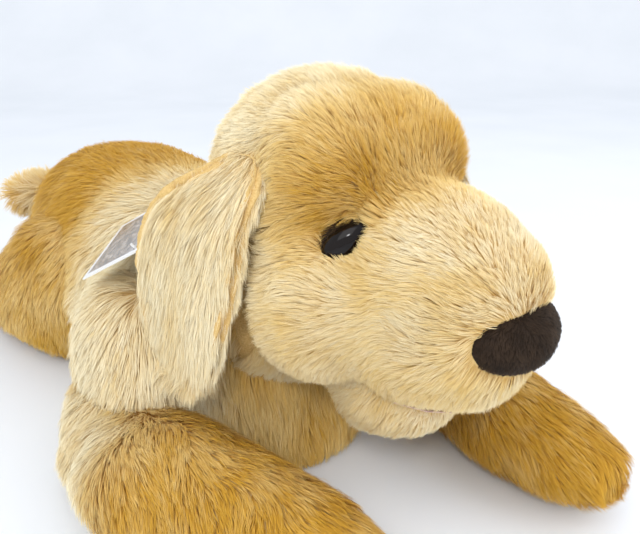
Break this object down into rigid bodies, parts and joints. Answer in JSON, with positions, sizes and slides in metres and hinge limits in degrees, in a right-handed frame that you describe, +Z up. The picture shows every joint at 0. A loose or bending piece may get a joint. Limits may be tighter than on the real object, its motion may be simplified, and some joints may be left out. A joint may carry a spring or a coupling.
{
  "type": "plush dog",
  "caption": "Large long-pile plush dog lying on its belly with raised head, hanging ears, glossy eyes, cloth nose and splayed legs.",
  "frame": {"origin": "on the resting surface, under the middle of the dog's bounding box", "axes": "+Z up, nose towards -Y, the dog's left towards +X"},
  "size_m": [0.3458, 0.668, 0.293],
  "materials": {
    "gold_pile": "deep gold long pile with pale tips",
    "cream_pile": "cream-gold long pile",
    "ear_pile": "pale cream long pile combed down",
    "fibre": "white polyester fibre",
    "pink_cloth": "pale pink short-pile cloth",
    "nose_cloth": "dark brown velour",
    "eye_plastic": "glossy black",
    "washer_plastic": "translucent white moulded",
    "tag_card": "glossy printed card"
  },
  "bodies": {
    "torso": {"torso_panel_left": "gold_pile", "torso_panel_right": "gold_pile", "belly_panel": "cream_pile", "torso_stuffing": "fibre"},
    "head": {"crown_gusset": "gold_pile", "muzzle_bridge": "cream_pile", "chin_panel": "cream_pile", "head_panel_left": "cream_pile", "head_panel_right": "cream_pile", "head_stuffing": "fibre", "chin_stuffing": "fibre", "mouth_lining": "pink_cloth", "nose_cover": "nose_cloth", "nose_padding": "fibre", "eye_left": "eye_plastic", "eye_right": "eye_plastic", "eye_washer_left": "washer_plastic", "eye_washer_right": "washer_plastic"},
    "ear_left": {"ear_outer_left": "ear_pile", "ear_lining_left": "cream_pile"},
    "ear_right": {"ear_outer_right": "ear_pile", "ear_lining_right": "cream_pile"},
    "foreleg_left": {"foreleg_left_skin": "gold_pile", "foreleg_left_stuffing": "fibre"},
    "foreleg_right": {"foreleg_right_skin": "gold_pile", "foreleg_right_stuffing": "fibre"},
    "hind_leg_left": {"hind_leg_left_skin": "gold_pile", "hind_leg_left_stuffing": "fibre"},
    "hind_leg_right": {"hind_leg_right_skin": "gold_pile", "hind_leg_right_stuffing": "fibre"},
    "tail": {"tail_skin": "gold_pile", "tail_stuffing": "fibre"},
    "tag": {"hang_tag": "tag_card", "tag_pin": "washer_plastic"}
  },
  "joints": [
    {"name": "head_turn", "type": "hinge", "parent": "torso", "child": "head", "pos_m": [0, -0.111, 0.148], "axis": [0, 0, 1], "range_deg": [-12, 12]},
    {"name": "ear_left_lift", "type": "hinge", "parent": "head", "child": "ear_left", "pos_m": [0.076, -0.148, 0.25], "axis": [0, -1, 0], "range_deg": [0, 60]},
    {"name": "ear_right_lift", "type": "hinge", "parent": "head", "child": "ear_right", "pos_m": [-0.076, -0.148, 0.25], "axis": [0, 1, 0], "range_deg": [0, 60]},
    {"name": "foreleg_left_swing", "type": "hinge", "parent": "torso", "child": "foreleg_left", "pos_m": [0.101, -0.018, 0.05], "axis": [0, 0, 1], "range_deg": [0, 15]},
    {"name": "foreleg_right_swing", "type": "hinge", "parent": "torso", "child": "foreleg_right", "pos_m": [-0.101, -0.018, 0.05], "axis": [0, 0, -1], "range_deg": [0, 15]},
    {"name": "hind_leg_left_swing", "type": "hinge", "parent": "torso", "child": "hind_leg_left", "pos_m": [0.072, 0.076, 0.07], "axis": [0, 0, -1], "range_deg": [0, 10]},
    {"name": "hind_leg_right_swing", "type": "hinge", "parent": "torso", "child": "hind_leg_right", "pos_m": [-0.072, 0.076, 0.07], "axis": [0, 0, 1], "range_deg": [0, 10]},
    {"name": "tail_wag", "type": "hinge", "parent": "torso", "child": "tail", "pos_m": [0, 0.24, 0.104], "axis": [0, 0, 1], "range_deg": [-18, 18]},
    {"name": "tag_swing", "type": "hinge", "parent": "ear_right", "child": "tag", "pos_m": [-0.10959, -0.0864, 0.18142], "axis": [0.571, -0.2638, -0.7774], "range_deg": [-8, 8]}
  ]
}
